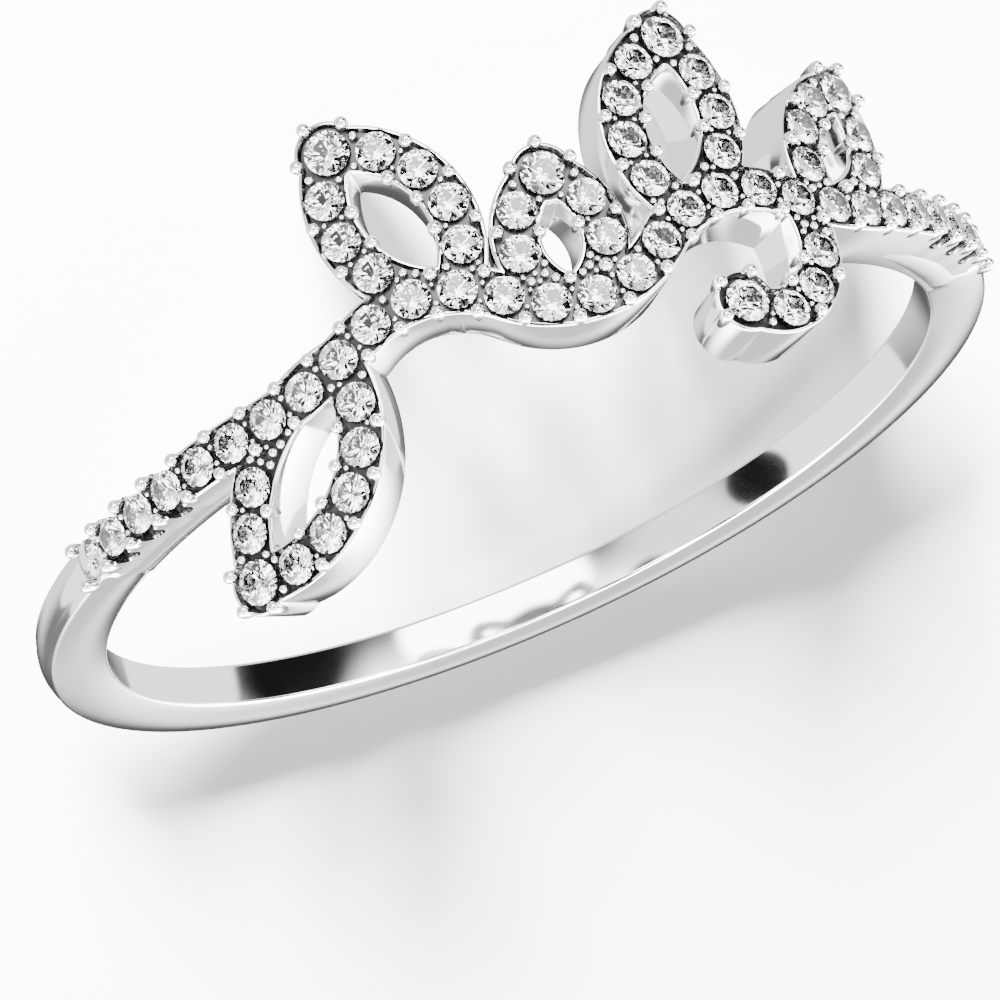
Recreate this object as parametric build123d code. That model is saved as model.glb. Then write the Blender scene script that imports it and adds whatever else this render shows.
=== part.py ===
from build123d import *
from build123d.topology import SkipClean
import math
import os
from collections import namedtuple

# Driving dimensions, in millimetres and degrees.
finger_diameter = 17.3       # bore of the band
band_width = 1.06            # along the finger
band_thickness = 1.25        # at the middle of the crowned outer face
crown_rise = 0.2             # how far the outer face bulges between its two edges
ribbon_width = 0.96          # each strand of the scroll
ribbon_depth = 1.29          # radial depth of a strand, from the bore outwards
scroll_length = 13.7         # wavy part of the stem, along the strand's top
shoulder_row = 5.05          # straight pave row on each shoulder of the band
band_gap_angle = 86.0        # front sector where the scroll alone carries the ring
tip_height = 4.0             # stones at the two highest leaf tips, above the band's middle
tip_side = 3.5               # those two tips, each side of the front
stone_diameter = 0.75        # pave stones
tip_stone_diameter = 0.86    # the stone at each free tip
stone_gap = 0.105            # least gap between two stones
stone_drop = 0.005           # girdle below the strand's top
seat_clearance = 0.02        # between a stone and its seat
drain_diameter = 0.2         # hole under each stone
bead_diameter = 0.27         # prongs that hold the stones
bead_rise = 0.17             # top of a prong above the strand
bead_root = 0.3              # how deep a prong is joined to the strand
bead_inset = 0.09            # prong's centre inside the strand's edge
bead_clearance = 0.03        # between a prong and the seats beside it
tip_rim = 0.2                # metal outside the stone at a free tip
window_width = 0.46          # side openings under the shoulder stones
window_depth = 0.42          # of those openings, below the strand's top
window_start = 9.2           # first of them, round the ring from the front

# Brilliant cut, as shares of the stone's diameter.
TABLE = 0.57
CROWN = 0.145
STAR_RADIUS = 0.40
GIRDLE = 0.03
PAVILION = 0.43
LOWER_RADIUS = 0.12
SIDES = 8

# The wavy stem: radius of each bend as a share of scroll_length, and its turn in degrees.
STEM_BENDS = [
    # radius, turn
    (0.438, 24),
    (0.190, -66),
    (0.175, 84),
    (0.190, -66),
    (0.438, 24),
]

# Leaves: foot on the stem as a share of the wavy part, tip as shares of tip_side
# and tip_height, and how far the two sides bow out as shares of the leaf's length.
LEAVES = [
    # foot, tip_along, tip_up, left_bow, right_bow
    (0.317, -1.000, 1.000, 0.293, 0.268),
    (0.683, 1.000, 1.000, 0.268, 0.293),
    (0.474, 0.004, 0.508, 0.330, 0.326),
    (0.134, -2.340, -0.637, 0.178, 0.285),
    (0.916, 2.117, 0.635, 0.278, 0.267),
]

# Free curl under the stem: its foot as a share of the wavy part, the first
# heading in degrees, and bends with radii as shares of scroll_length.
CURL_FOOT = 0.860
CURL_HEADING = -70
CURL_BENDS = [
    # radius, turn
    (0.120, -98),
    (0.070, -62),
]

bore_radius = finger_diameter / 2
top_radius = bore_radius + ribbon_depth
band_radius = bore_radius + band_thickness
edge_radius = band_radius - crown_rise
girdle_radius = top_radius - stone_drop
pitch = stone_diameter + stone_gap
HIGH = 4 * tip_height        # taller than anything on the ring
FACET = math.pi / SIDES      # half the angle of one facet
SEARCH_STEP = 0.01           # how finely places for stones are tried
END_BULGE = 0.5              # of a strand's ends, as a share of half its width
SEAM_TURN = 20               # keeps a seat's own start line off the middle of the band
PRONG_TURN = 90              # the same for a prong, whose start line lies across the finger
NEIGHBOUR = 1.4              # stones within this many pitches share two prongs
TIP_BEAD_TURNS = (110, 180, 250)
ROW_BEAD_TURNS = (138, 222)

# A leg is one straight or round stretch of a strand's centre line on the unrolled
# cylinder: along is the arc length round the ring, up is along the finger.
Leg = namedtuple("Leg", "along up heading length curve")


def travel(leg, distance):
    """Place and heading at a distance along a leg."""
    turned = leg.heading + leg.curve * distance
    if leg.curve == 0:
        along = leg.along + distance * math.cos(leg.heading)
        up = leg.up + distance * math.sin(leg.heading)
    else:
        along = leg.along + (math.sin(turned) - math.sin(leg.heading)) / leg.curve
        up = leg.up - (math.cos(turned) - math.cos(leg.heading)) / leg.curve
    return along, up, turned


def bend(place, radius, turn):
    """A round leg from a place, turning left by turn degrees."""
    angle = math.radians(turn)
    curve = math.copysign(1 / radius, angle)
    return Leg(*place, radius * abs(angle), curve)


def end_of(leg):
    return travel(leg, leg.length)


def stretch(legs):
    return sum(leg.length for leg in legs)


def walk(legs, distance):
    """Place and heading at a distance along joined legs."""
    for leg in legs:
        if distance <= leg.length or leg is legs[-1]:
            return travel(leg, distance)
        distance -= leg.length


def stem():
    """Straight shoulder, wave, straight shoulder."""
    legs = []
    place = (0.0, 0.0, 0.0)
    for radius, turn in STEM_BENDS:
        legs.append(bend(place, radius * scroll_length, turn))
        place = end_of(legs[-1])
    half = place[0] / 2
    legs = [leg._replace(along=leg.along - half) for leg in legs]
    first = Leg(-half - shoulder_row, 0.0, 0.0, shoulder_row, 0.0)
    last = Leg(half, 0.0, 0.0, shoulder_row, 0.0)
    return [first] + legs + [last]


def leaf(stem_legs, foot, tip_along, tip_up, left_bow, right_bow):
    """The two sides of a leaf, each from its tip to its foot on the stem."""
    wave = stretch(stem_legs) - 2 * shoulder_row
    foot_along, foot_up, _ = walk(stem_legs, shoulder_row + foot * wave)
    tip = (tip_along * tip_side, tip_up * tip_height)
    run = (foot_along - tip[0], foot_up - tip[1])
    chord = math.hypot(*run)
    heading = math.atan2(run[1], run[0])
    sides = []
    for side, bow in ((1, left_bow * chord), (-1, right_bow * chord)):
        radius = (chord ** 2 / 4 + bow ** 2) / (2 * bow)
        half_turn = math.asin(chord / 2 / radius)
        start = (*tip, heading + side * half_turn)
        sides.append([bend(start, radius, -side * math.degrees(2 * half_turn))])
    return sides


def curl(stem_legs):
    """A short strand from its free end to its foot on the stem."""
    wave = stretch(stem_legs) - 2 * shoulder_row
    along, up, _ = walk(stem_legs, shoulder_row + CURL_FOOT * wave)
    place = (along, up, math.radians(CURL_HEADING))
    legs = []
    for radius, turn in CURL_BENDS:
        leg = bend(place, radius * scroll_length, turn)
        place = end_of(leg)
        legs.insert(0, Leg(place[0], place[1], place[2] + math.pi, leg.length, -leg.curve))
    return legs


def seat_plane(along, up, radius):
    """Plane square to the radius at a place on the cylinder, X round the ring."""
    angle = along / top_radius
    sine, cosine = math.sin(angle), math.cos(angle)
    origin = (radius * sine, -radius * cosine, up)
    return Plane(origin=origin, x_dir=(cosine, sine, 0), z_dir=(sine, -cosine, 0))


def outline_of(leg, middle):
    """A leg of a strand as a flat bar with bulging ends, seen square to the middle's radius."""
    half = ribbon_width / 2

    def flat(distance, side, ahead=0.0):
        along, up, heading = travel(leg, distance)
        along += half * (ahead * math.cos(heading) - side * math.sin(heading))
        up += half * (ahead * math.sin(heading) + side * math.cos(heading))
        return (top_radius * math.sin((along - middle) / top_radius), up)

    start, centre, end = 0.0, leg.length / 2, leg.length
    if leg.curve == 0:
        left = Line(flat(start, 1), flat(end, 1))
        right = Line(flat(end, -1), flat(start, -1))
    else:
        left = ThreePointArc(flat(start, 1), flat(centre, 1), flat(end, 1))
        right = ThreePointArc(flat(end, -1), flat(centre, -1), flat(start, -1))
    front_cap = ThreePointArc(flat(end, 1), flat(end, 0, END_BULGE), flat(end, -1))
    back_cap = ThreePointArc(flat(start, -1), flat(start, 0, -END_BULGE), flat(start, 1))
    return make_face([left, front_cap, right, back_cap])


def motif(legs, tip):
    """A group of strands with the round end at their tip, cut square to one radius."""
    ends = [place for leg in legs if leg.curve for place in (travel(leg, 0), end_of(leg))]
    middle = (min(ends)[0] + max(ends)[0]) / 2
    shape = Pos(top_radius * math.sin((tip[0] - middle) / top_radius), tip[1]) * Circle(tip[2] / 2 + tip_rim)
    for leg in legs:
        shape += outline_of(leg, middle)
    plane = seat_plane(middle, 0.0, bore_radius / 2)
    return extrude(plane * shape, amount=top_radius) & wall_shell()


def wall_shell():
    """The curved wall that the whole scroll is cut from."""
    return Cylinder(top_radius, HIGH) - Cylinder(bore_radius, HIGH)


def band():
    """Plain band with a crowned outer face, open at the front."""
    half = band_width / 2
    inner = Line((bore_radius, -half), (bore_radius, half))
    upper = Line((bore_radius, half), (edge_radius, half))
    outer = ThreePointArc((edge_radius, half), (band_radius, 0), (edge_radius, -half))
    lower = Line((edge_radius, -half), (bore_radius, -half))
    section = make_face([inner, upper, outer, lower])
    ring = revolve(Plane.XZ * section, Axis.Z)
    gap_half = math.radians(band_gap_angle / 2)
    reach = 2 * band_radius
    corner = (reach * math.sin(gap_half), -reach * math.cos(gap_half))
    wedge = make_face(Polyline((0, 0), corner, (0, -2 * reach), (-corner[0], corner[1]), close=True))
    return ring - extrude(wedge, amount=HIGH, both=True)


def brilliant(diameter):
    """Round brilliant: table, stars, kites, girdle and pavilion. Girdle top at z = 0."""
    crown, girdle, deep = CROWN * diameter, GIRDLE * diameter, PAVILION * diameter
    radius, table, star = diameter / 2, TABLE * diameter / 2, STAR_RADIUS * diameter
    lower = LOWER_RADIUS * diameter
    star_share = (star * math.cos(FACET) - table) / (radius - table)
    star_up = crown * (1 - star_share)
    lower_up = -girdle - deep * (1 - lower * math.cos(FACET) / radius)

    def ring_point(distance, half_steps, up):
        angle = half_steps * FACET
        return (distance * math.cos(angle), distance * math.sin(angle), up)

    culet = (0, 0, -girdle - deep)
    facets = [[ring_point(table, 2 * step, crown) for step in range(SIDES)]]
    for step in range(0, 2 * SIDES, 2):
        table_here = ring_point(table, step, crown)
        table_next = ring_point(table, step + 2, crown)
        star_here = ring_point(star, step + 1, star_up)
        star_before = ring_point(star, step - 1, star_up)
        lower_here = ring_point(lower, step + 1, lower_up)
        lower_before = ring_point(lower, step - 1, lower_up)
        rim = [ring_point(radius, step + k, 0) for k in range(3)]
        base = [ring_point(radius, step + k, -girdle) for k in range(3)]
        facets.append([table_here, star_here, table_next])
        facets.append([table_here, star_before, rim[0], star_here])
        facets.append([culet, lower_here, base[0], lower_before])
        for k in range(2):
            facets.append([star_here, rim[k], rim[k + 1]])
            facets.append([rim[k], base[k], base[k + 1], rim[k + 1]])
            facets.append([lower_here, base[k + 1], base[k]])
    faces = [Face(Wire.make_polygon(points, close=True)) for points in facets]
    return Solid(Shell(faces))


def seat_cutter(diameter):
    """Space for one stone with its clearance, and the drain hole under it."""
    radius = diameter / 2 + seat_clearance
    drain = drain_diameter / 2
    girdle = (GIRDLE * diameter) + seat_clearance
    cone = PAVILION * diameter * (1 - drain / radius)
    top, bottom = ribbon_depth, -ribbon_depth * 1.5
    outline = Polyline((0, top), (radius, top), (radius, -girdle), (drain, -girdle - cone),
                       (drain, bottom), (0, bottom), close=True)
    return Rot(0, 0, SEAM_TURN) * revolve(Plane.XZ * make_face(outline), Axis.Z)


def bead():
    """A prong: a short post with a domed head. The strand's top is at z = 0."""
    radius = bead_diameter / 2
    post = bead_root + bead_rise - radius
    body = Cylinder(radius, post, align=(Align.CENTER, Align.CENTER, Align.MIN))
    body = Pos(0, 0, -bead_root) * body
    return Rot(0, 0, PRONG_TURN) * (body + Pos(0, 0, bead_rise - radius) * Sphere(radius))


def window_cutter():
    """Round-bottomed opening through both sides of a shoulder, under one stone."""
    radius = window_width / 2
    bottom = radius - window_depth
    hole = Pos(0, 0, bottom) * Rot(90, 0, 0) * Cylinder(radius, 2 * band_width)
    slot = Box(window_width, 2 * band_width, ribbon_depth,
               align=(Align.CENTER, Align.CENTER, Align.MIN))
    return hole + Pos(0, 0, bottom) * slot


def clear_of(place, others, reach):
    """Whether a place is reach or more outside each of the stones."""
    return all(math.dist(place[:2], other[:2]) >= reach + other[2] / 2 for other in others)


def fill(legs, taken):
    """Stones along a strand, from its tip, each as near the last as the gap allows."""
    run = []
    distance = 0.0
    while distance <= stretch(legs):
        along, up, _ = walk(legs, distance)
        stone = (along, up, stone_diameter)
        if clear_of(stone, taken, stone_diameter / 2 + stone_gap):
            run.append(stone)
            taken.append(stone)
        distance += SEARCH_STEP
    return run


def stem_row(stem_legs):
    """Evenly spaced stones from one end of the stem to the other."""
    count = int(stretch(stem_legs) / pitch)
    places = [walk(stem_legs, index * stretch(stem_legs) / count) for index in range(count + 1)]
    return [(along, up, stone_diameter) for along, up, _ in places]


def beads_between(one, other):
    """Places of the two prongs that hold a pair of neighbouring stones."""
    run = (other[0] - one[0], other[1] - one[1])
    share = (ribbon_width / 2 - bead_inset) / math.hypot(*run)
    middle = ((one[0] + other[0]) / 2, (one[1] + other[1]) / 2)
    return [(middle[0] - side * share * run[1], middle[1] + side * share * run[0]) for side in (1, -1)]


def beads_round(stone, heading, turns):
    """Places of the prongs round an end stone; the strand leaves it along heading."""
    reach = stone[2] / 2 + seat_clearance + bead_clearance + bead_diameter / 2
    places = []
    for turn in turns:
        angle = heading + math.radians(turn)
        places.append((stone[0] + reach * math.cos(angle), stone[1] + reach * math.sin(angle)))
    return places


stem_legs = stem()
leaves = [leaf(stem_legs, *row) for row in LEAVES]
curl_legs = curl(stem_legs)
tips = [(sides[0][0], sides[1][0]) for sides in leaves] + [(curl_legs[0], curl_legs[0])]

# Stones: the stem's row, the free tips, then the sides of the leaves and the curl.
runs = [stem_row(stem_legs)]
tip_stones = [(leg.along, leg.up, tip_stone_diameter) for leg, _ in tips]
stones = runs[0] + tip_stones
strands = [side for sides in leaves for side in sides] + [curl_legs]
for legs in strands:
    start = (legs[0].along, legs[0].up, tip_stone_diameter)
    runs.append([start] + fill(legs, stones))

# Prongs: two between neighbours, three round each free tip, none on a stone.
beads = []
wanted = []
for (one, other), stone in zip(tips, tip_stones):
    wanted += beads_round(stone, (one.heading + other.heading) / 2, TIP_BEAD_TURNS)
wanted += beads_round(runs[0][0], 0, ROW_BEAD_TURNS)
wanted += beads_round(runs[0][-1], math.pi, ROW_BEAD_TURNS)
for run in runs:
    for one, other in zip(run, run[1:]):
        if math.dist(one[:2], other[:2]) < NEIGHBOUR * pitch:
            wanted += beads_between(one, other)
for place in wanted:
    room = seat_clearance + bead_clearance + bead_diameter / 2
    if clear_of(place, stones, room - 1e-6):
        if all(math.dist(place, bead) > bead_diameter for bead in beads):
            beads.append(place)

# Metal: band and scroll in one, seats and side openings cut, prongs joined.
bends = stem_legs[1:-1]
groups = [
    [bends[1], *leaves[0][0], *leaves[0][1]],
    [bends[3], *leaves[1][0], *leaves[1][1]],
    [bends[2], *leaves[2][0], *leaves[2][1]],
    [stem_legs[0], bends[0], *leaves[3][0], *leaves[3][1]],
    [bends[4], stem_legs[-1], *leaves[4][0], *leaves[4][1]],
    curl_legs,
]
motifs = [motif(legs, tip) for legs, tip in zip(groups, tip_stones)]
cutters = {diameter: seat_cutter(diameter) for diameter in (stone_diameter, tip_stone_diameter)}
window = window_cutter()
prong = bead()
seats = [seat_plane(along, up, girdle_radius) * cutters[diameter] for along, up, diameter in stones]
windows = [seat_plane(along, up, top_radius) * window
           for along, up, _ in runs[0] if abs(along) >= window_start]
prongs = [seat_plane(along, up, top_radius) * prong for along, up in beads]
with SkipClean():
    metal = band() + motifs
    metal = metal - seats
    metal = metal - windows
    metal = metal + prongs

# Stones: loose in their seats, one group on the shoulders and one in the scroll.
cut_stones = {diameter: brilliant(diameter) for diameter in (stone_diameter, tip_stone_diameter)}
fields = {"shoulder_stones": [], "scroll_stones": []}
for along, up, diameter in stones:
    name = "shoulder_stones" if abs(along) > scroll_length / 2 and up == 0 else "scroll_stones"
    fields[name].append(seat_plane(along, up, girdle_radius) * cut_stones[diameter])

# Resting place: on its side, leaf tips down, so it stands on two tips and the
# back edge of the band. The bore's middle stays at the origin.
tip_edge = tip_height + tip_stone_diameter / 2 + tip_rim
tip_reach = bore_radius * math.cos(tip_side / top_radius)
rest_tilt = math.degrees(math.atan2(tip_edge - band_width / 2, tip_reach + edge_radius))
rest = Rot(-rest_tilt, 0, 0) * Rot(0, 180, 0)

os.makedirs("parts", exist_ok=True)
export_step(rest * metal, "parts/ring_metal.step")
for name, field in fields.items():
    export_step(rest * Compound(children=field), f"parts/{name}.step")
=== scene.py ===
import math
import random
from collections import namedtuple

import bmesh
import bpy
import numpy as np
from mathutils import Matrix, Vector, geometry


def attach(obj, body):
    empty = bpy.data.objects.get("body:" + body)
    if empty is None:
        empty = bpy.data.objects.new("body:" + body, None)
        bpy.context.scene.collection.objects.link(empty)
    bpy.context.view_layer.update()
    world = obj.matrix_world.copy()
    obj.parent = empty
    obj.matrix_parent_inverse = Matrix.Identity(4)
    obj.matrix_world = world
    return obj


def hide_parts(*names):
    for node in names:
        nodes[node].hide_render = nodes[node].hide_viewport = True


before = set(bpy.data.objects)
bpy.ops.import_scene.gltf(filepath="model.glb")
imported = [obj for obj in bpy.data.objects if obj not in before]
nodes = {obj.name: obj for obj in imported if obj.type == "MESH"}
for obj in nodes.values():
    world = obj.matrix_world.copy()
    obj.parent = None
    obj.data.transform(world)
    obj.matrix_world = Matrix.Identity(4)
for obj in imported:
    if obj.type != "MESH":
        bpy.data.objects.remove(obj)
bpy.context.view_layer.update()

# The CAD part's stones stay, with a better material. Its casting gives way to a finer one
# on the same layout, which is worked out again here.

MM = 0.001

# Camera, in metres: the photograph's angle to the ring, seen from above the floor.
CAMERA_AT = (0.047892, -0.149037, 0.088855)
CAMERA_RIGHT = (-0.90793, -0.04139, 0.41708)
CAMERA_UP = (-0.32626, -0.55486, -0.76530)
CAMERA_FORWARD = (-0.26310, 0.83092, -0.49026)
CAMERA_RISE = 0.347 * MM     # up the picture, so the tall leaves stay inside it
CAMERA_NEAR = 0.01
SENSOR = 36.0                # millimetres, as Blender takes it
PHOTO_FOCAL = 9.51374        # focal length over the picture's width
WIDER_VIEW = 0.98            # shows 2 per cent more than the photograph, for the tall leaves too

# Floor and lights, in metres and watts.
FLOOR_LEVEL = -2.6915 * MM   # just under the casting's lowest point
FLOOR_REACH = 0.6
KEY_AT = (0.143, -0.572, 0.110)
KEY_SIZE = 0.11
KEY_POWER = 233.0
FILL_AT = (0.0, 0.0, 0.5)
FILL_SIZE = 0.7
FILL_POWER = 4.0

# World: a white tent that brightens upwards, with panels and black cards on it. Metal and
# stones mirror it, and it lights nothing else.
WORLD_STRENGTH = 1.0
LOW_LIGHT = 0.25
HIGH_LIGHT = 20.0
LOW_END = -0.25              # heights on the unit sphere between which the tent brightens
HIGH_END = 0.75
BLACK = 0.01
PANELS = [
    # direction, inner and outer half angle in degrees, brightness
    ((0.0, 0.0, -1.0), 50, 70, 1.6),
    ((0.05, 0.88, 0.47), 16, 44, 1.1),
    ((-0.20, 0.90, -0.36), 10, 30, 0.12),
    ((-0.06, -0.99, -0.07), 23, 28, 12.0),
    ((-0.85, -0.47, -0.20), 12, 25, BLACK),
    ((-0.90, 0.30, -0.33), 25.5, 27.5, 2.2),
    ((0.74, -0.66, -0.14), 0, 22, 2.0),
    ((0.90, 0.30, -0.36), 27.5, 29.5, 2.4),
    ((0.93, -0.29, -0.22), 9, 10.5, BLACK),
    ((0.263, -0.831, 0.490), 13, 20, BLACK),
    ((0.85, -0.35, 0.40), 8, 14, BLACK),
    ((-0.35, -0.80, 0.50), 8, 14, BLACK),
    ((-0.80, -0.20, 0.45), 8, 14, BLACK),
    ((0.30, -0.30, 0.90), 9, 15, BLACK),
    ((-0.20, -0.90, 0.20), 4, 8, BLACK),
    ((0.60, -0.78, 0.10), 4, 8, BLACK),
]
CARDS = 26                   # small black cards round the upper half, for the stones to mirror
CARD_LOWEST = 0.10           # height of the lowest card on the unit sphere
CARD_ANGLES = (10, 13)
CARD_SIDE = -0.05            # cards stand on the scroll's side of the ring only

# Materials: noise scales in waves to a metre, tones and roughness from the noise's low to high.
METAL_NOISE = 900.0
METAL_DETAIL = 3.0
METAL_TONES = ((0.88, 0.88, 0.885, 1), (0.94, 0.94, 0.94, 1))
METAL_ROUGHNESS = (0.05, 0.12)
# painted shade: the dark tone that recesses and the roots of prongs and grains take, in place of the shade
# that falls there
PAINTED_SHADE_TONE = (0.06, 0.06, 0.06, 1)
RECESS_ROUGHNESS = 0.3
STONE_IOR = 1.95
STONE_NOISE = 700.0
STONE_ROUGHNESS = (0.0, 0.015)
FLOOR_NOISE = 60.0
FLOOR_TONES = ((0.93, 0.93, 0.93, 1), (0.95, 0.95, 0.95, 1))
PLAIN_DETAIL = 2.0

# The ring's own frame, in millimetres: finger axis Z, scroll at -Y. Places on the
# unrolled ring are along, the arc length from the front, and up, along the finger.
# Arrays of such places are called s and z.
BORE = 8.65                  # radius, as the next three are
TOP = 9.94
BAND_TOP = 9.9
BAND_EDGE = 9.7
BAND_WIDTH = 1.06
RIBBON = 0.96                # width of a strand
SCROLL_LENGTH = 13.7
SHOULDER_ROW = 5.05
TIP_HEIGHT = 4.0
TIP_SIDE = 3.5
STONE = 0.75
TIP_STONE = 0.86
GAP = 0.105
PITCH = STONE + GAP
SEAT_ROOM = 0.02
STONE_DROP = 0.005
STONE_GIRDLE = 0.03          # share of a stone's width, as the pavilion is
PAVILION = 0.43
DRAIN = 0.1                  # radius
TIP_RIM = 0.2
WINDOW_START = 9.2           # along: side openings are under the stones beyond it
WINDOW = 0.46
WINDOW_DEPTH = 0.42
BEAD = 0.27
BEAD_RISE = 0.17
BEAD_INSET = 0.09
BEAD_ROOM = 0.03
REST_TILT = 12.957538828     # degrees

# The scroll's layout, as in the CAD part. A bend is its radius, as a share of the scroll's
# length, and its turn in degrees.
STEM_BENDS = [(0.438, 24), (0.190, -66), (0.175, 84), (0.190, -66), (0.438, 24)]
LEAVES = [
    # foot as a share of the stem's wave, tip in TIP_SIDE and TIP_HEIGHT, bows in chords
    (0.317, -1.000, 1.000, 0.293, 0.268),
    (0.683, 1.000, 1.000, 0.268, 0.293),
    (0.474, 0.004, 0.508, 0.330, 0.326),
    (0.134, -2.340, -0.637, 0.178, 0.285),
    (0.916, 2.117, 0.635, 0.278, 0.267),
]
CURL_FOOT = 0.860            # share of the stem's wave
CURL_HEADING = -70
CURL_BENDS = [(0.120, -98), (0.070, -62)]
SEARCH_STEP = 0.01           # how finely places for stones are tried
NEIGHBOUR = 1.4              # stones within this many pitches share two prongs
TIP_BEAD_TURNS = (110, 180, 250)
ROW_BEAD_TURNS = (138, 222)
SLACK = 1e-6                 # in comparing distances

# The cast metal's finer shape, in millimetres.
PLATE = TOP - 0.02           # radius of the strands' raised rims
PLATE_BACK = BORE + 0.012
EDGE = 0.05                  # round of the strands' edges
EDGE_STEPS = (0.0, 0.008, 0.024, 0.05, 0.07, 0.12)
RAIL = 0.07                  # raised rim along a strand's edges
RAIL_SLOPE = 0.05
CHANNEL = 0.13               # how far the strand's top lies below its rim
RIM = 0.03                   # bright-cut round each seat
RIM_RISE = 0.01              # of the bright-cut over the channel
CUT_WALL = 0.012             # width that the steep wall of a seat or side opening takes
SEAT_MIDDLE = 0.25           # radius of an extra circle in each seat, for even triangles
WINDOW_STEPS = (0, 0.08, 0.15, WINDOW / 2 - CUT_WALL, WINDOW / 2)
WINDOW_LINE = 1.1            # length of the openings' lines, over the strand's width
WINDOW_OVERLAP = 0.02        # of a side opening past each edge of the row
SHADE_START = 0.02           # painted shade: below the rims the metal darkens over this further depth
SHADE_DEPTH = 0.09
OUTLINE_STEP = 0.08          # between the points of a strand's lines
CAP_STEPS = 24               # in the half circle at each end of the shoulder rows
TIP_STEPS = 56
SEAT_STEPS = 32
HAIR = 1e-4                  # keeps a seat's or opening's own line outside it
DRAIN_LINE = 1e-3            # points this near the drain's radius are on its edge
DRAIN_SHARE = 0.98           # share of the drain's radius within which the plate is open
MERGE = 3e-3                 # flat points closer than this are one

# The plain band: lengths in millimetres, angles in degrees from the front.
BAND_START = 44.5
BAND_SPANS = 170
NARROWING = 0.11             # share of the width lost towards the front
NARROW_SPAN = (44, 60)
SINK = 0.4                   # how far the bar lies lower under the shoulder rows
SINK_SPAN = (67.0, 68.5)
CROWN_STEPS = 8
SIDE_BULGE = 0.08            # of the band's two side faces
SIDE_STEPS = 9
OUTER_ROUND = 0.12
OUTER_TURN = 72
INNER_ROUND = 0.08
ROUND_STEPS = 6

# Prongs and grains, in millimetres.
CLAW = [(0.5, 0.35), (0.78, 0.2), (0.95, 0.1), (1.0, 0.04)]    # share of radius, depth
CLAW_SHADE = 0.12            # depth at which a claw's painted shade is as dark as the recesses'
RADIUS_SPREAD = (0.95, 1.04)
RISE_SPREAD = (0.92, 1.04)
LEAN = 0.012
GRAIN_GRID = 0.03            # spacing of the places tried for the small grains
GRAIN_ROOM = 0.012           # between a grain and what is beside it
GRAIN_RADII = (0.05, 0.095)
GRAIN_RISE = 0.03
Detail = namedtuple("Detail", "seed rings turns")
PRONG_DETAIL = Detail(seed=7, rings=5, turns=14)
GRAIN_DETAIL = Detail(seed=11, rings=3, turns=10)

WELD = 1e-9                  # metres
SHARP_ANGLE = 38

Leg = namedtuple("Leg", "along up heading length curve")
Layout = namedtuple("Layout", "strands row tip_stones stones beads")


def clamp(value):
    return min(max(value, 0), 1)


def ramp(value, start, end):
    """0 up to start, 1 from end, straight between."""
    return clamp((value - start) / (end - start))


def travel(leg, distance):
    """Place and heading after a distance along a leg, which is straight or an arc."""
    turned = leg.heading + leg.curve * distance
    if leg.curve == 0:
        return leg.along + distance * math.cos(turned), leg.up + distance * math.sin(turned), turned
    along = leg.along + (math.sin(turned) - math.sin(leg.heading)) / leg.curve
    up = leg.up - (math.cos(turned) - math.cos(leg.heading)) / leg.curve
    return along, up, turned


def bend(place, radius, turn):
    angle = math.radians(turn)
    return Leg(*place, radius * abs(angle), math.copysign(1 / radius, angle))


def stretch(legs):
    return sum(leg.length for leg in legs)


def walk(legs, distance):
    """Place and heading after a distance along several legs."""
    for leg in legs:
        if distance <= leg.length or leg is legs[-1]:
            return travel(leg, distance)
        distance -= leg.length


def stem():
    """The wavy stem with a straight shoulder row at each end."""
    legs, place = [], (0.0, 0.0, 0.0)
    for radius, turn in STEM_BENDS:
        legs.append(bend(place, radius * SCROLL_LENGTH, turn))
        place = travel(legs[-1], legs[-1].length)
    half = place[0] / 2
    legs = [leg._replace(along=leg.along - half) for leg in legs]
    first = Leg(-half - SHOULDER_ROW, 0.0, 0.0, SHOULDER_ROW, 0.0)
    return [first] + legs + [Leg(half, 0.0, 0.0, SHOULDER_ROW, 0.0)]


def leaf(stem_legs, foot, tip_along, tip_up, left_bow, right_bow):
    """A leaf's two sides, each one arc from the tip to the foot on the stem."""
    wave = stretch(stem_legs) - 2 * SHOULDER_ROW
    foot_along, foot_up, _ = walk(stem_legs, SHOULDER_ROW + foot * wave)
    tip = (tip_along * TIP_SIDE, tip_up * TIP_HEIGHT)
    run = (foot_along - tip[0], foot_up - tip[1])
    chord, heading = math.hypot(*run), math.atan2(run[1], run[0])
    sides = []
    for side, bow in ((1, left_bow * chord), (-1, right_bow * chord)):
        radius = (chord ** 2 / 4 + bow ** 2) / (2 * bow)
        half_turn = math.asin(chord / 2 / radius)
        start = (*tip, heading + side * half_turn)
        sides.append([bend(start, radius, -side * math.degrees(2 * half_turn))])
    return sides


def curl(stem_legs):
    """The curl's legs, from its tip to its foot on the stem."""
    wave = stretch(stem_legs) - 2 * SHOULDER_ROW
    along, up, _ = walk(stem_legs, SHOULDER_ROW + CURL_FOOT * wave)
    place, legs = (along, up, math.radians(CURL_HEADING)), []
    for radius, turn in CURL_BENDS:
        leg = bend(place, radius * SCROLL_LENGTH, turn)
        place = travel(leg, leg.length)
        legs.insert(0, Leg(place[0], place[1], place[2] + math.pi, leg.length, -leg.curve))
    return legs


def clear_of(place, others, reach):
    return all(math.dist(place[:2], other[:2]) >= reach + other[2] / 2 for other in others)


def fill(legs, taken):
    """Stones along the legs, wherever one has room beside those already taken."""
    run, distance = [], 0.0
    while distance <= stretch(legs):
        along, up, _ = walk(legs, distance)
        if clear_of((along, up), taken, STONE / 2 + GAP):
            run.append((along, up, STONE))
            taken.append(run[-1])
        distance += SEARCH_STEP
    return run


def beads_between(one, other):
    """Two prongs, one on each side of the line between two stones."""
    run = (other[0] - one[0], other[1] - one[1])
    share = (RIBBON / 2 - BEAD_INSET) / math.hypot(*run)
    along, up = (one[0] + other[0]) / 2, (one[1] + other[1]) / 2
    return [(along - side * share * run[1], up + side * share * run[0]) for side in (1, -1)]


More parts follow.
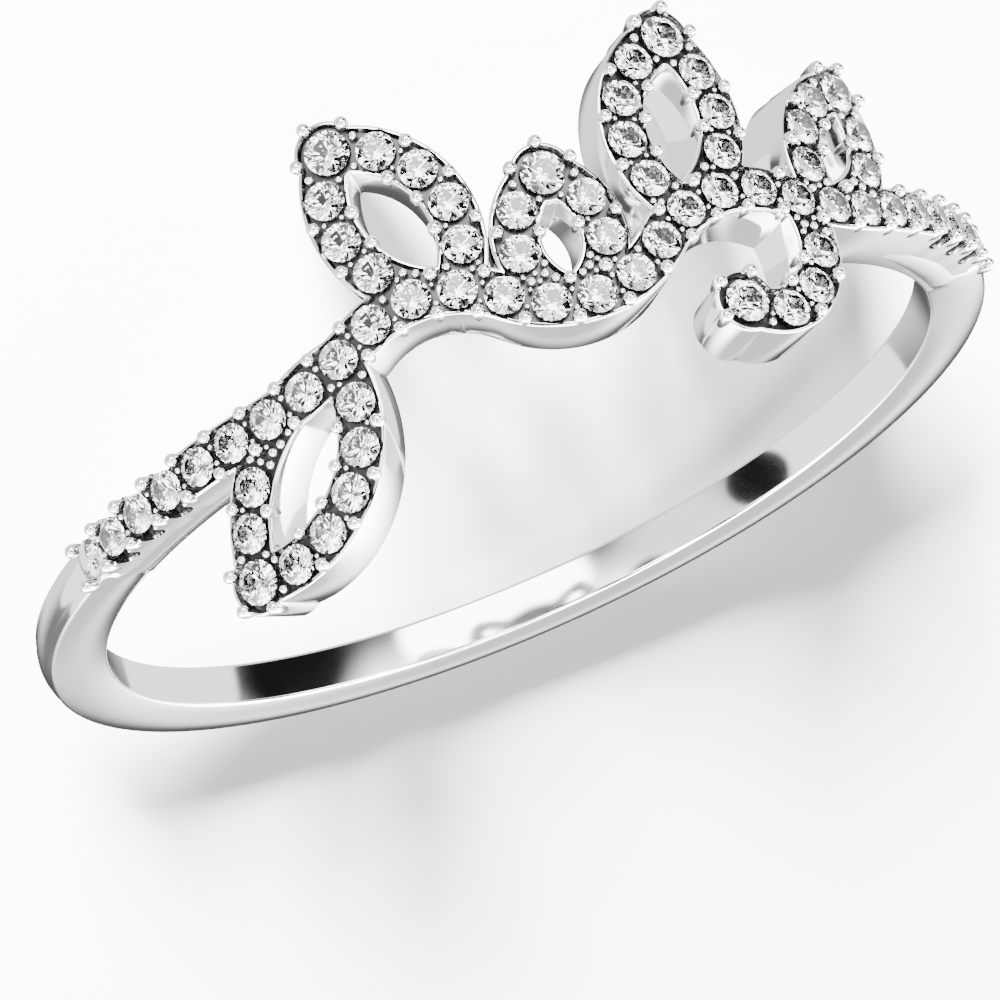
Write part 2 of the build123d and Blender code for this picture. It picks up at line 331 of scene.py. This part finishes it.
def beads_round(stone, heading, turns):
    reach = stone[2] / 2 + SEAT_ROOM + BEAD_ROOM + BEAD / 2
    angles = [heading + math.radians(turn) for turn in turns]
    return [(stone[0] + reach * math.cos(a), stone[1] + reach * math.sin(a)) for a in angles]


def layout():
    """Strands, stones and prongs, by the same rules as the CAD part."""
    stem_legs = stem()
    leaves = [leaf(stem_legs, *numbers) for numbers in LEAVES]
    curl_legs = curl(stem_legs)
    strands = [stem_legs] + [side for sides in leaves for side in sides] + [curl_legs]
    tips = [(left[0], right[0]) for left, right in leaves] + [(curl_legs[0], curl_legs[0])]
    count = int(stretch(stem_legs) / PITCH)
    row = [walk(stem_legs, k * stretch(stem_legs) / count) for k in range(count + 1)]
    row = [(along, up, STONE) for along, up, _ in row]
    tip_stones = [(leg.along, leg.up, TIP_STONE) for leg, _ in tips]
    stones, runs = row + tip_stones, [row]
    for legs in strands[1:]:
        runs.append([(legs[0].along, legs[0].up, TIP_STONE)] + fill(legs, stones))
    wanted, beads = [], []
    for (one, other), stone in zip(tips, tip_stones):
        wanted += beads_round(stone, (one.heading + other.heading) / 2, TIP_BEAD_TURNS)
    wanted += beads_round(row[0], 0, ROW_BEAD_TURNS) + beads_round(row[-1], math.pi, ROW_BEAD_TURNS)
    for run in runs:
        for one, other in zip(run, run[1:]):
            if math.dist(one[:2], other[:2]) < NEIGHBOUR * PITCH:
                wanted += beads_between(one, other)
    for place in wanted:
        if clear_of(place, stones, SEAT_ROOM + BEAD_ROOM + BEAD / 2 - SLACK):
            if all(math.dist(place, bead) > BEAD for bead in beads):
                beads.append(place)
    return Layout(strands, row, tip_stones, stones, beads)


def line_gap(leg, s, z):
    """How far each point lies from a straight leg."""
    cos, sin = math.cos(leg.heading), math.sin(leg.heading)
    t = np.clip((s - leg.along) * cos + (z - leg.up) * sin, 0, leg.length)
    return np.hypot(s - leg.along - t * cos, z - leg.up - t * sin)


def arc_gap(leg, s, z):
    """How far each point lies from an arc."""
    radius = 1 / leg.curve
    along = leg.along - radius * math.sin(leg.heading)
    up = leg.up + radius * math.cos(leg.heading)
    start = math.atan2(leg.up - up, leg.along - along)
    turn = (np.arctan2(z - up, s - along) - start) * np.sign(radius) % (2 * math.pi)
    beside = np.abs(np.hypot(s - along, z - up) - abs(radius))
    ends = [travel(leg, 0), travel(leg, leg.length)]
    beyond = np.minimum(*[np.hypot(s - end[0], z - end[1]) for end in ends])
    return np.where(turn <= leg.length * abs(leg.curve), beside, beyond)


def depth_in(pattern, s, z):
    """How far inside the scroll's outline each point lies."""
    depth = np.full(len(s), -np.inf)
    for legs in pattern.strands:
        for leg in legs:
            gap = line_gap(leg, s, z) if leg.curve == 0 else arc_gap(leg, s, z)
            depth = np.maximum(depth, RIBBON / 2 - gap)
    for along, up, size in pattern.tip_stones:
        depth = np.maximum(depth, size / 2 + TIP_RIM - np.hypot(s - along, z - up))
    return depth


def grains(pattern):
    """Small raised grains that fill the metal between stones and prongs, the widest gaps first."""
    reach = SCROLL_LENGTH / 2 + SHOULDER_ROW + RIBBON
    s, z = np.meshgrid(np.arange(-reach, reach, GRAIN_GRID), np.arange(-reach / 2, reach / 2, GRAIN_GRID))
    s, z = s.ravel(), z.ravel()
    depth = depth_in(pattern, s, z)
    keep = depth > RAIL + RAIL_SLOPE + GRAIN_RADII[0]
    s, z, room = s[keep], z[keep], depth[keep] - RAIL - RAIL_SLOPE / 2
    for along, up, size in pattern.stones:
        room = np.minimum(room, np.hypot(s - along, z - up) - size / 2 - SEAT_ROOM - GRAIN_ROOM)
    for along, up in pattern.beads:
        room = np.minimum(room, np.hypot(s - along, z - up) - BEAD / 2 - GRAIN_ROOM)
    made = []
    while room.max() >= GRAIN_RADII[0]:
        k = int(room.argmax())
        radius = min(float(room[k]), GRAIN_RADII[1])
        made.append((float(s[k]), float(z[k]), radius))
        room = np.minimum(room, np.hypot(s - s[k], z - z[k]) - radius - GRAIN_ROOM)
    return made


def circle(along, up, radius, steps):
    angles = [k * 2 * math.pi / steps for k in range(steps)]
    return [(along + radius * math.cos(a), up + radius * math.sin(a)) for a in angles]


def side_line(legs, side):
    """Places beside a strand's middle line: side is how far to its left they lie."""
    places = []
    for leg in legs:
        steps = max(2, int(leg.length / OUTLINE_STEP))
        for k in range(steps + (leg is legs[-1])):
            along, up, heading = travel(leg, k * leg.length / steps)
            places.append((along - side * math.sin(heading), up + side * math.cos(heading)))
    return places


def cap_line(place, turn, radius):
    """Places round half a circle that starts at a turn in degrees."""
    angles = [math.radians(turn + 180 * k / CAP_STEPS) for k in range(CAP_STEPS + 1)]
    return [(place[0] + radius * math.cos(a), place[1] + radius * math.sin(a)) for a in angles]


def pattern_lines(pattern):
    """The lines of the flat pattern: each line's places, and whether it closes on itself."""
    for legs in pattern.strands:
        for inset in EDGE_STEPS:
            for side in (RIBBON / 2 - inset, -(RIBBON / 2 - inset)):
                yield side_line(legs, side), False
    first, last = pattern.strands[0][0], pattern.strands[0][-1]
    for place, turn in ((travel(first, 0), 90), (travel(last, last.length), -90)):
        for inset in EDGE_STEPS:
            yield cap_line(place, turn, RIBBON / 2 - inset), False
    for along, up, size in pattern.tip_stones:
        for inset in EDGE_STEPS:
            yield circle(along, up, size / 2 + TIP_RIM - inset, TIP_STEPS), True
    for along, up, size in pattern.stones:
        seat = size / 2 + SEAT_ROOM
        for radius in (DRAIN, SEAT_MIDDLE, seat - CUT_WALL, seat, seat + RIM):
            yield circle(along, up, radius, SEAT_STEPS), True
    for along, up, _ in pattern.row:
        if abs(along) >= WINDOW_START:
            for away in WINDOW_STEPS:
                for side in (1, -1):
                    ends = [up + end * RIBBON / 2 * WINDOW_LINE for end in (-1, 1)]
                    yield [(along + side * away, end) for end in ends], False


def flat_pattern(pattern):
    """The scroll's outline cut into triangles: places s and z, and the triangles' corners."""
    points, edges = [], []
    for places, closed in pattern_lines(pattern):
        first, last = len(points), len(points) + len(places) - 1
        points += [Vector(place) for place in places]
        edges += [(k, k + 1) for k in range(first, last)]
        if closed:
            edges.append((last, first))
    flat, _, triangles, *_ = geometry.delaunay_2d_cdt(points, edges, [], 0, MERGE)
    s, z = np.array([(point.x, point.y) for point in flat]).T
    triangles = np.array([t for t in triangles if len(t) == 3])
    middle = (s[triangles].mean(1), z[triangles].mean(1))
    inside = depth_in(pattern, *middle) > 0
    for along, up, _ in pattern.stones:
        inside &= np.hypot(middle[0] - along, middle[1] - up) > DRAIN * DRAIN_SHARE
    return s, z, triangles[inside].tolist()


def cut_seat(size, away, top):
    """The top after a stone's seat is cut: bright-cut rim, ledge and a cone down to the drain."""
    seat = size / 2 + SEAT_ROOM
    ledge = TOP - STONE_DROP - STONE_GIRDLE * size - SEAT_ROOM
    cone = PAVILION * size * (1 - DRAIN / seat)
    inward = np.clip((seat - CUT_WALL - away) / (seat - CUT_WALL - DRAIN), 0, 1)
    cut = np.where(away < seat + RIM, np.minimum(top, PLATE - CHANNEL + RIM_RISE), top)
    return np.minimum(top, np.where(away < seat - HAIR, ledge - cone * inward, cut))


def cut_window(away, z, top):
    """The top after a side opening is cut: a trough with a round bottom, right across the row."""
    half = WINDOW / 2
    trough = TOP - WINDOW_DEPTH + half - np.sqrt(np.clip(half ** 2 - away ** 2, 0, None))
    inside = (away < half - HAIR) & (np.abs(z) < RIBBON / 2 + WINDOW_OVERLAP)
    return np.where(inside, np.minimum(top, trough), top)


def open_edges(triangles):
    """The edges that one triangle alone has, in that triangle's direction."""
    seen = {}
    for a, b, c in triangles:
        for edge in ((a, b), (b, c), (c, a)):
            key = (min(edge), max(edge))
            seen[key] = None if key in seen else edge
    return [edge for edge in seen.values() if edge is not None]


class Mesh:
    """Points and faces of the cast metal, gathered before they go to Blender."""

    def __init__(self):
        self.points, self.faces, self.painted_shade = [], [], []

    def add(self, s, z, radius, painted_shade=0.0):
        """Adds places of the unrolled ring at a radius; returns the number of the first."""
        first = len(self.points)
        angle = np.asarray(s) / TOP
        across, front = radius * np.sin(angle), -radius * np.cos(angle)
        self.points += zip(across.tolist(), front.tolist(), np.asarray(z, float).tolist())
        # each point's share of painted shade, for the metal material
        self.painted_shade += np.broadcast_to(painted_shade, len(angle)).tolist()
        return first


def scroll_metal(pattern, mesh):
    """Scroll and shoulder rows: a plate that follows the bore, with seats, drains and side openings."""
    s, z, triangles = flat_pattern(pattern)
    depth = depth_in(pattern, s, z)
    rounding = np.sqrt(EDGE ** 2 - (EDGE - np.clip(depth, 0, EDGE)) ** 2)
    inward = np.clip((depth - RAIL) / RAIL_SLOPE, 0, 1)
    inward = inward * inward * (3 - 2 * inward)
    top = PLATE - EDGE + rounding - CHANNEL * inward
    bottom = PLATE_BACK + EDGE - rounding
    for along, up, size in pattern.stones:
        away = np.hypot(s - along, z - up)
        top = cut_seat(size, away, top)
        bottom = np.where(np.abs(away - DRAIN) < DRAIN_LINE, PLATE_BACK, bottom)
    for along, _, _ in pattern.row:
        if abs(along) >= WINDOW_START:
            top = cut_window(np.abs(s - along), z, top)
    # painted shade: the metal darkens with depth below the strands' rims
    painted_sunk_shade = np.where(depth > RAIL, np.clip((PLATE - SHADE_START - top) / SHADE_DEPTH, 0, 1), 0)
    upper = mesh.add(s, z, top, painted_sunk_shade)
    lower = mesh.add(s, z, bottom)
    mesh.faces += [(upper + a, upper + b, upper + c) for a, b, c in triangles]
    mesh.faces += [(lower + c, lower + b, lower + a) for a, b, c in triangles]
    mesh.faces += [(upper + b, upper + a, lower + a, lower + b) for a, b in open_edges(triangles)]


def round_pairs(size):
    """Each corner of a loop with the next one."""
    return [(k, (k + 1) % size) for k in range(size)]


def band_profile(off):
    """The bar's section at an angle from the front, as (up, radius) places round it."""
    half = BAND_WIDTH / 2 * (1 - NARROWING * (1 - ramp(off, *NARROW_SPAN)))
    sink = SINK * ramp(off, SINK_SPAN[1], SINK_SPAN[0])
    waist = half - SIDE_BULGE

    def crown(z):
        return BAND_TOP - sink - (BAND_TOP - BAND_EDGE) * (z / half) ** 2

    over = []
    for k in range(CROWN_STEPS + 1):
        z = (half - SIDE_BULGE - OUTER_ROUND) * (2 * k / CROWN_STEPS - 1)
        over.append((z, crown(z)))
    side = []
    for k in range(1, ROUND_STEPS + 1):
        turn = math.radians(OUTER_TURN) * k / ROUND_STEPS
        drop = OUTER_ROUND * (1 - math.cos(turn))
        side.append((waist - OUTER_ROUND + OUTER_ROUND * math.sin(turn), crown(waist - OUTER_ROUND) - drop))
    high, low = side[-1][1], BORE + INNER_ROUND
    for k in range(1, SIDE_STEPS):
        t = 2 * k / SIDE_STEPS - 1
        side.append((half - SIDE_BULGE * t * t, high + (low - high) * (t + 1) / 2))
    for k in range(1, ROUND_STEPS + 1):
        turn = math.pi / 2 * k / ROUND_STEPS
        side.append((waist - INNER_ROUND + INNER_ROUND * math.cos(turn), low - INNER_ROUND * math.sin(turn)))
    return over + side + [(0, BORE)] + [(-z, radius) for z, radius in reversed(side)]


def band_metal(mesh):
    """The plain band: a crowned bar swept round the back, lower under the shoulder rows."""
    start = math.radians(BAND_START)
    angles = [start + (2 * math.pi - 2 * start) * k / BAND_SPANS for k in range(BAND_SPANS + 1)]
    for off in SINK_SPAN:
        angles += [math.radians(off), math.radians(360 - off)]
    angles.sort()
    profiles = [band_profile(math.degrees(min(angle, 2 * math.pi - angle))) for angle in angles]
    loops = []
    for angle, profile in zip(angles, profiles):
        z, radius = np.array(profile).T
        loops.append(mesh.add(np.full(len(profile), angle * TOP), z, radius))
    size = len(profiles[0])
    for one, other in zip(loops, loops[1:]):
        mesh.faces += [(one + k, other + k, other + n, one + n) for k, n in round_pairs(size)]
    mesh.faces.append(tuple(loops[0] + k for k in range(size)))
    mesh.faces.append(tuple(loops[-1] + k for k in reversed(range(size))))


def bead_metal(beads, detail, mesh):
    """Prongs or grains, given as (along, up, radius, rise): claws with domed heads, none quite alike."""
    chance = random.Random(detail.seed)
    angles = [k * 2 * math.pi / detail.turns for k in range(detail.turns)]
    for along, up, radius, rise in beads:
        radius *= chance.uniform(*RADIUS_SPREAD)
        rise *= chance.uniform(*RISE_SPREAD)
        lean = (chance.uniform(-LEAN, LEAN), chance.uniform(-LEAN, LEAN))
        profile = [(share * radius, -depth) for share, depth in CLAW]
        for k in range(detail.rings):
            turn = k * math.pi / 2 / detail.rings
            profile.append((radius * math.cos(turn), rise - radius + radius * math.sin(turn)))
        loops = []
        for reach, high in profile:
            share = max(high, 0) / rise
            s = [along + reach * math.cos(a) + lean[0] * share for a in angles]
            z = [up + reach * math.sin(a) + lean[1] * share for a in angles]
            # painted shade: a claw darkens with depth below the top
            loops.append(mesh.add(s, z, TOP + high, clamp(-high / CLAW_SHADE)))
        tip = mesh.add([along + lean[0]], [up + lean[1]], TOP + rise)
        for one, other in zip(loops, loops[1:]):
            mesh.faces += [(one + k, one + n, other + n, other + k) for k, n in round_pairs(detail.turns)]
        mesh.faces += [(loops[-1] + k, loops[-1] + n, tip) for k, n in round_pairs(detail.turns)]
        mesh.faces.append(tuple(loops[0] + k for k in reversed(range(detail.turns))))


def cast_metal():
    """The ring's one casting: scroll plate, band, prongs and grains, turned to how it rests."""
    pattern, mesh = layout(), Mesh()
    scroll_metal(pattern, mesh)
    band_metal(mesh)
    bead_metal([(along, up, BEAD / 2, BEAD_RISE) for along, up in pattern.beads], PRONG_DETAIL, mesh)
    small = [(along, up, radius, GRAIN_RISE) for along, up, radius in grains(pattern)]
    bead_metal(small, GRAIN_DETAIL, mesh)
    rest = Matrix.Rotation(math.radians(-REST_TILT), 4, "X") @ Matrix.Rotation(math.pi, 4, "Y")
    data = bpy.data.meshes.new("cast_metal")
    data.from_pydata([MM * (rest @ Vector(point)) for point in mesh.points], [], mesh.faces)
    work = bmesh.new()
    work.from_mesh(data)
    # the painted shade rides on the points to the metal material
    layer = work.verts.layers.float.new("painted_shade")
    for vertex, value in zip(work.verts, mesh.painted_shade):
        vertex[layer] = value
    bmesh.ops.remove_doubles(work, verts=work.verts, dist=WELD)
    loose = [vertex for vertex in work.verts if not vertex.link_faces]
    bmesh.ops.delete(work, geom=loose, context="VERTS")
    bmesh.ops.recalc_face_normals(work, faces=work.faces)
    work.to_mesh(data)
    work.free()
    data.shade_smooth()
    data.set_sharp_from_angle(angle=math.radians(SHARP_ANGLE))
    return new_object("cast_metal", data)


def new_object(name, data):
    made = bpy.data.objects.new(name, data)
    bpy.context.scene.collection.objects.link(made)
    return made


def node(tree, kind, **values):
    made = tree.nodes.new(kind)
    for key, value in values.items():
        setattr(made, key, value)
    return made


def set_inputs(made, tree, **values):
    """Sets a node's inputs by name, with _ for a blank: a socket is linked, a value is set."""
    for key, value in values.items():
        socket = made.inputs[key.replace("_", " ")]
        if isinstance(value, bpy.types.NodeSocket):
            tree.links.new(value, socket)
        else:
            socket.default_value = value
    return made


def mixed(tree, kind, share, low, high):
    mix = set_inputs(node(tree, "ShaderNodeMix", data_type=kind), tree, Factor=share, A=low, B=high)
    return mix.outputs["Result"]


def object_noise(tree, scale, detail=PLAIN_DETAIL):
    place = node(tree, "ShaderNodeTexCoord").outputs["Object"]
    noise = set_inputs(node(tree, "ShaderNodeTexNoise"), tree, Vector=place, Scale=scale, Detail=detail)
    return noise.outputs["Fac"]


def spread(tree, value, low, high):
    """The value, which runs from 0 to 1, made to run from low to high."""
    made = set_inputs(node(tree, "ShaderNodeMapRange"), tree, Value=value, To_Min=low, To_Max=high)
    return made.outputs["Result"]


def smooth_step(tree, value, start, end, low=0.0, high=1.0):
    """Low up to start, high from end, smooth between."""
    made = node(tree, "ShaderNodeMapRange", interpolation_type="SMOOTHSTEP")
    set_inputs(made, tree, Value=value, From_Min=start, From_Max=end, To_Min=low, To_Max=high)
    return made.outputs["Result"]


def new_material(name):
    """A material with nothing but a Principled shader."""
    material = bpy.data.materials.new(name)
    material.use_nodes = True
    tree = material.node_tree
    tree.nodes.clear()
    shader = node(tree, "ShaderNodeBsdfPrincipled")
    set_inputs(node(tree, "ShaderNodeOutputMaterial"), tree, Surface=shader.outputs["BSDF"])
    return material, tree, shader


def metal_material():
    """Polished white metal with faint polishing marks; duller in its recesses, which painted shade darkens.
    """
    material, tree, shader = new_material("white_metal")
    noise = object_noise(tree, METAL_NOISE, METAL_DETAIL)
    painted_shade = node(tree, "ShaderNodeAttribute", attribute_name="painted_shade").outputs["Fac"]
    # painted shade: the tone goes dark where points carry painted shade
    tone = mixed(tree, "RGBA", painted_shade, mixed(tree, "RGBA", noise, *METAL_TONES), PAINTED_SHADE_TONE)
    rough = mixed(tree, "FLOAT", painted_shade, spread(tree, noise, *METAL_ROUGHNESS), RECESS_ROUGHNESS)
    set_inputs(shader, tree, Metallic=1.0, Base_Color=tone, Roughness=rough)
    return material


def stone_material():
    """Clear white stone, strongly refracting."""
    material, tree, shader = new_material("white_stone")
    rough = spread(tree, object_noise(tree, STONE_NOISE), *STONE_ROUGHNESS)
    set_inputs(shader, tree, Base_Color=(1, 1, 1, 1), Transmission_Weight=1.0, IOR=STONE_IOR, Roughness=rough)
    return material


def floor_material():
    """White paper with no shine."""
    material, tree, shader = new_material("floor_paper")
    tone = mixed(tree, "RGBA", object_noise(tree, FLOOR_NOISE), *FLOOR_TONES)
    set_inputs(shader, tree, Base_Color=tone, Roughness=1.0, Specular_IOR_Level=0.0)
    return material


def paper_floor():
    """The floor, which neither metal nor stones mirror."""
    data = bpy.data.meshes.new("floor")
    corners = [(-1, -1), (1, -1), (1, 1), (-1, 1)]
    places = [(x * FLOOR_REACH, y * FLOOR_REACH, FLOOR_LEVEL) for x, y in corners]
    data.from_pydata(places, [], [(0, 1, 2, 3)])
    data.materials.append(floor_material())
    floor = new_object("floor", data)
    floor.visible_glossy = False
    floor.visible_transmission = False
    return floor


def cards():
    """The black cards, as panels: a golden-angle spiral over the scroll's side."""
    turn = math.pi * (3 - math.sqrt(5))
    for k in range(CARDS):
        high = CARD_LOWEST + (1 - CARD_LOWEST) * (k + 0.5) / CARDS
        wide = math.sqrt(1 - high * high)
        if wide * math.sin(k * turn) < CARD_SIDE:
            yield (wide * math.cos(k * turn), wide * math.sin(k * turn), high), *CARD_ANGLES, BLACK


def studio_world():
    """The tent, painted by direction: brightness by height, then one panel over another."""
    world = bpy.data.worlds.new("studio")
    bpy.context.scene.world = world
    world.use_nodes = True
    world.cycles_visibility.diffuse = False
    tree = world.node_tree
    tree.nodes.clear()
    toward = node(tree, "ShaderNodeTexCoord").outputs["Generated"]
    height = set_inputs(node(tree, "ShaderNodeSeparateXYZ"), tree, Vector=toward).outputs["Z"]
    light = smooth_step(tree, height, LOW_END, HIGH_END, LOW_LIGHT, HIGH_LIGHT)
    for direction, inner, outer, level in PANELS + list(cards()):
        length = math.hypot(*direction)
        facing = node(tree, "ShaderNodeVectorMath", operation="DOT_PRODUCT")
        tree.links.new(toward, facing.inputs[0])
        facing.inputs[1].default_value = [part / length for part in direction]
        edges = [math.cos(math.radians(angle)) for angle in (outer, inner)]
        share = smooth_step(tree, facing.outputs["Value"], *edges)
        light = mixed(tree, "FLOAT", share, light, level)
    back = node(tree, "ShaderNodeBackground")
    set_inputs(back, tree, Color=light, Strength=WORLD_STRENGTH)
    set_inputs(node(tree, "ShaderNodeOutputWorld"), tree, Surface=back.outputs["Background"])


def disc_light(name, place, size, power):
    """A soft disc that points at the ring and isn't mirrored by metal or stones."""
    data = bpy.data.lights.new(name, "AREA")
    data.shape = "DISK"
    data.size = size
    data.energy = power
    lamp = new_object(name, data)
    lamp.location = place
    lamp.rotation_mode = "QUATERNION"
    lamp.rotation_quaternion = (-Vector(place)).to_track_quat("-Z", "Y")
    lamp.visible_glossy = False
    lamp.visible_transmission = False


def photo_camera():
    data = bpy.data.cameras.new("camera")
    data.sensor_width = SENSOR
    data.lens = SENSOR * PHOTO_FOCAL * WIDER_VIEW
    data.clip_start = CAMERA_NEAR
    camera = new_object("camera", data)
    axes = Matrix((CAMERA_RIGHT, CAMERA_UP, [-part for part in CAMERA_FORWARD])).transposed().to_4x4()
    place = Vector(CAMERA_AT) + CAMERA_RISE * Vector(CAMERA_UP)
    camera.matrix_world = Matrix.Translation(place) @ axes
    bpy.context.scene.camera = camera


metal = metal_material()
stone = stone_material()
for name, piece in nodes.items():
    piece.data.materials.clear()
    piece.data.materials.append(metal if name == "ring_metal" else stone)

cast = cast_metal()
cast.data.materials.append(metal)
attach(cast, "root")
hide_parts("ring_metal")

floor = paper_floor()

# The floor is lit by two discs alone: a key low on the camera's side, and a fill overhead.
studio_world()
disc_light("key", KEY_AT, KEY_SIZE, KEY_POWER)
disc_light("fill", FILL_AT, FILL_SIZE, FILL_POWER)
photo_camera()
